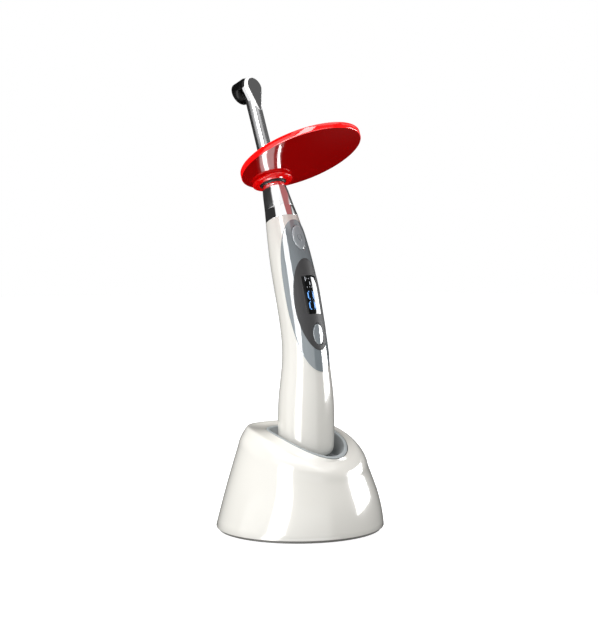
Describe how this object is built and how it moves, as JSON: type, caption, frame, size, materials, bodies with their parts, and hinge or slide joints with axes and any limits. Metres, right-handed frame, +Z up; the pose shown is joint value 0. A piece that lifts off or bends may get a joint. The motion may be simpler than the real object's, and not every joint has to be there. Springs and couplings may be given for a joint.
{
  "type": "dental curing light",
  "caption": "Cordless dental curing light: leaning round handpiece with chrome light barrel, red oval shield and panel, standing in a white charging base.",
  "frame": {"origin": "centre of the base's underside, on the rubber foot pad", "axes": "+Z up; +X towards the side the control panel faces, with the barrel leaning towards -X; Y side to side"},
  "size_m": [0.0918, 0.085, 0.23],
  "materials": {
    "white_shell": "gloss moulded ABS",
    "grey_overlay": "satin membrane",
    "dark_bezel": "satin dark window surround",
    "display_glass": "smoked clear pane",
    "button_light": "gloss light grey cap",
    "cup_grey": "gloss grey cup",
    "black_rubber": "matt rubber",
    "black_plastic": "gloss black moulding",
    "frame_plastic": "matt glass-filled plastic",
    "polished_chrome": "mirror polish",
    "steel": "zinc-plated steel",
    "gold_contact": "gold plate",
    "circuit_board": "green solder mask",
    "cell_wrap": "shrink sleeve",
    "red_shield": "gloss tinted acrylic",
    "red_rubber": "gloss silicone",
    "clear_lens": "clear polished",
    "led_yellow": "phosphor-like die coat",
    "heat_metal": "turned aluminium",
    "wire_red": "silicone wire"
  },
  "bodies": {
    "base": {"foot_pad": "black_rubber", "base_plate": "frame_plastic", "base_screws": "steel", "base_shell": "white_shell", "well_cup": "cup_grey", "charge_socket": "black_plastic", "ballast_plate": "steel", "charge_board": "circuit_board", "board_screws": "steel", "dc_jack": "black_plastic", "pin_barrels": "gold_contact", "pin_spring_left": "steel", "pin_spring_right": "steel"},
    "handpiece": {"front_shell": "white_shell", "rear_shell": "white_shell", "end_cap": "white_shell", "charge_pads": "gold_contact", "inner_frame": "frame_plastic", "battery_cell": "cell_wrap", "battery_contacts": "gold_contact", "main_board": "circuit_board", "control_chips": "black_plastic", "buzzer": "black_plastic", "power_switch": "steel", "mode_switch": "steel", "control_overlay": "grey_overlay", "display_bezel": "dark_bezel", "display_lens": "display_glass", "display_module": "black_plastic", "neck_ring": "polished_chrome"},
    "light_barrel": {"barrel": "polished_chrome", "neck_clip": "steel", "neck_oring": "black_rubber", "head_housing": "black_plastic", "heat_slug": "heat_metal", "led_die": "led_yellow", "head_lens": "clear_lens", "lens_ring": "black_plastic", "lead_wires": "wire_red"},
    "shield_mount": {"shield_liner": "black_rubber"},
    "shield": {"shield_grommet": "red_rubber", "shield_disc": "red_shield"},
    "power_key": {"power_button": "grey_overlay"},
    "mode_key": {"mode_button": "button_light"},
    "pin_left": {"charge_pin_left": "gold_contact"},
    "pin_right": {"charge_pin_right": "gold_contact"}
  },
  "joints": [
    {"name": "wand_lift", "type": "slide", "parent": "base", "child": "handpiece", "axis": [0, 0, 1], "range_m": [0, 0.05]},
    {"name": "barrel_swivel", "type": "hinge", "parent": "handpiece", "child": "light_barrel", "pos_m": [-0.0143, 0, 0.1543], "axis": [-0.3584, 0, 0.9336], "range_deg": [-165, 165]},
    {"name": "shield_slide", "type": "slide", "parent": "light_barrel", "child": "shield_mount", "axis": [-0.3584, 0, 0.9336], "range_m": [0, 0.028]},
    {"name": "shield_spin", "type": "hinge", "parent": "shield_mount", "child": "shield", "pos_m": [-0.0143, 0, 0.1543], "axis": [-0.3584, 0, 0.9336], "continuous": true},
    {"name": "power_press", "type": "slide", "parent": "handpiece", "child": "power_key", "axis": [-0.9483, 0, -0.3173], "range_m": [0, 0.0005], "stiffness_N_per_m": 600},
    {"name": "mode_press", "type": "slide", "parent": "handpiece", "child": "mode_key", "axis": [-0.9851, 0, -0.1719], "range_m": [0, 0.0005], "stiffness_N_per_m": 600},
    {"name": "pin_left_press", "type": "slide", "parent": "base", "child": "pin_left", "axis": [0, 0, -1], "range_m": [0, 0.0008], "stiffness_N_per_m": 150, "springref_m": -0.0004, "deforming": ["pin_spring_left"]},
    {"name": "pin_right_press", "type": "slide", "parent": "base", "child": "pin_right", "axis": [0, 0, -1], "range_m": [0, 0.0008], "stiffness_N_per_m": 150, "springref_m": -0.0004, "deforming": ["pin_spring_right"]}
  ]
}
